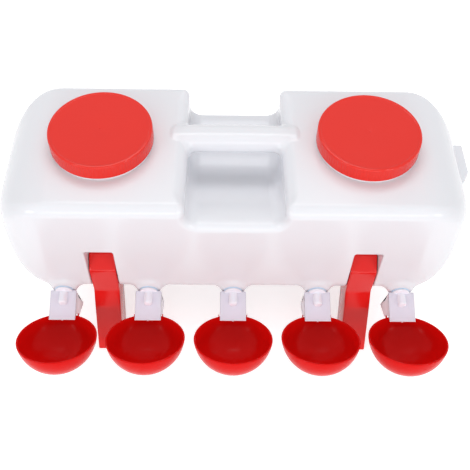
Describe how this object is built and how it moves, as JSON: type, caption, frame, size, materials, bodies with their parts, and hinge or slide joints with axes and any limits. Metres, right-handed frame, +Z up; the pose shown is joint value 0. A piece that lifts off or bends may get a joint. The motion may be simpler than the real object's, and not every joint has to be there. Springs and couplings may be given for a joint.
{
  "type": "poultry drinker",
  "caption": "Long white water tank on red arch stands, with a bridge handle, screw lids and a row of tilting drinking cups on sprung valves along its front.",
  "frame": {"origin": "on the ground, under the middle of the whole drinker's bounding box", "axes": "+Z up, +X to the right along the tank's length, +Y away from the cups, which face -Y"},
  "size_m": [0.49, 0.3101, 0.2305],
  "materials": {
    "tank_plastic": "blow-moulded translucent white polyethylene, satin",
    "red_plastic": "injection-moulded red plastic, glossy",
    "valve_plastic": "injection-moulded off-white plastic, satin",
    "ring_silicone": "pale blue silicone",
    "seal_rubber": "black rubber",
    "liner_foam": "white foamed polyethylene",
    "steel": "stainless steel"
  },
  "bodies": {
    "tank": {"tank": "tank_plastic", "stand_left": "red_plastic", "stand_right": "red_plastic", "valve_housing_1": "valve_plastic", "valve_housing_2": "valve_plastic", "valve_housing_3": "valve_plastic", "valve_housing_4": "valve_plastic", "valve_housing_5": "valve_plastic", "seal_ring_1": "ring_silicone", "seal_ring_2": "ring_silicone", "seal_ring_3": "ring_silicone", "seal_ring_4": "ring_silicone", "seal_ring_5": "ring_silicone", "hinge_pin_1": "steel", "hinge_pin_2": "steel", "hinge_pin_3": "steel", "hinge_pin_4": "steel", "hinge_pin_5": "steel", "return_spring_1": "steel", "return_spring_2": "steel", "return_spring_3": "steel", "return_spring_4": "steel", "return_spring_5": "steel"},
    "liner_left": {"lid_liner_left": "liner_foam"},
    "liner_right": {"lid_liner_right": "liner_foam"},
    "lid_left": {"lid_left": "red_plastic"},
    "lid_right": {"lid_right": "red_plastic"},
    "cup_1": {"cup_1": "red_plastic"},
    "cup_2": {"cup_2": "red_plastic"},
    "cup_3": {"cup_3": "red_plastic"},
    "cup_4": {"cup_4": "red_plastic"},
    "cup_5": {"cup_5": "red_plastic"},
    "valve_pin_1": {"valve_pin_1": "valve_plastic", "valve_seal_1": "seal_rubber"},
    "valve_pin_2": {"valve_pin_2": "valve_plastic", "valve_seal_2": "seal_rubber"},
    "valve_pin_3": {"valve_pin_3": "valve_plastic", "valve_seal_3": "seal_rubber"},
    "valve_pin_4": {"valve_pin_4": "valve_plastic", "valve_seal_4": "seal_rubber"},
    "valve_pin_5": {"valve_pin_5": "valve_plastic", "valve_seal_5": "seal_rubber"}
  },
  "joints": [
    {"name": "lid_lift_left", "type": "slide", "parent": "tank", "child": "liner_left", "axis": [0, 0, 1], "range_m": [0, 0.0128]},
    {"name": "lid_turn_left", "type": "hinge", "parent": "liner_left", "child": "lid_left", "pos_m": [-0.1385, 0.03533, 0.2226], "axis": [0, 0, 1], "range_deg": [0, 900]},
    {"name": "lid_lift_right", "type": "slide", "parent": "tank", "child": "liner_right", "axis": [0, 0, 1], "range_m": [0, 0.0128]},
    {"name": "lid_turn_right", "type": "hinge", "parent": "liner_right", "child": "lid_right", "pos_m": [0.1285, 0.03533, 0.2226], "axis": [0, 0, 1], "range_deg": [0, 900]},
    {"name": "cup_tilt_1", "type": "hinge", "parent": "tank", "child": "cup_1", "pos_m": [-0.1876, -0.06515, 0.057], "axis": [1, 0, 0], "range_deg": [0, 12], "stiffness_Nm_per_rad": 0.06, "springref_deg": -19.08, "deforming": ["return_spring_1"]},
    {"name": "cup_tilt_2", "type": "hinge", "parent": "tank", "child": "cup_2", "pos_m": [-0.0963, -0.06515, 0.057], "axis": [1, 0, 0], "range_deg": [0, 12], "stiffness_Nm_per_rad": 0.06, "springref_deg": -19.08, "deforming": ["return_spring_2"]},
    {"name": "cup_tilt_3", "type": "hinge", "parent": "tank", "child": "cup_3", "pos_m": [-0.005, -0.06515, 0.057], "axis": [1, 0, 0], "range_deg": [0, 12], "stiffness_Nm_per_rad": 0.06, "springref_deg": -19.08, "deforming": ["return_spring_3"]},
    {"name": "cup_tilt_4", "type": "hinge", "parent": "tank", "child": "cup_4", "pos_m": [0.0863, -0.06515, 0.057], "axis": [1, 0, 0], "range_deg": [0, 12], "stiffness_Nm_per_rad": 0.06, "springref_deg": -19.08, "deforming": ["return_spring_4"]},
    {"name": "cup_tilt_5", "type": "hinge", "parent": "tank", "child": "cup_5", "pos_m": [0.1776, -0.06515, 0.057], "axis": [1, 0, 0], "range_deg": [0, 12], "stiffness_Nm_per_rad": 0.06, "springref_deg": -19.08, "deforming": ["return_spring_5"]},
    {"name": "valve_slide_1", "type": "slide", "parent": "tank", "child": "valve_pin_1", "axis": [0, -1, 0], "range_m": [0, 0.004]},
    {"name": "valve_slide_2", "type": "slide", "parent": "tank", "child": "valve_pin_2", "axis": [0, -1, 0], "range_m": [0, 0.004]},
    {"name": "valve_slide_3", "type": "slide", "parent": "tank", "child": "valve_pin_3", "axis": [0, -1, 0], "range_m": [0, 0.004]},
    {"name": "valve_slide_4", "type": "slide", "parent": "tank", "child": "valve_pin_4", "axis": [0, -1, 0], "range_m": [0, 0.004]},
    {"name": "valve_slide_5", "type": "slide", "parent": "tank", "child": "valve_pin_5", "axis": [0, -1, 0], "range_m": [0, 0.004]}
  ],
  "couplings": [
    {"joint": "lid_lift_left", "follows": "lid_turn_left", "m_per_rad": 0.0008085},
    {"joint": "lid_lift_right", "follows": "lid_turn_right", "m_per_rad": 0.0008085},
    {"joint": "valve_slide_1", "follows": "cup_tilt_1", "m_per_rad": 0.018965},
    {"joint": "valve_slide_2", "follows": "cup_tilt_2", "m_per_rad": 0.018965},
    {"joint": "valve_slide_3", "follows": "cup_tilt_3", "m_per_rad": 0.018965},
    {"joint": "valve_slide_4", "follows": "cup_tilt_4", "m_per_rad": 0.018965},
    {"joint": "valve_slide_5", "follows": "cup_tilt_5", "m_per_rad": 0.018965}
  ]
}
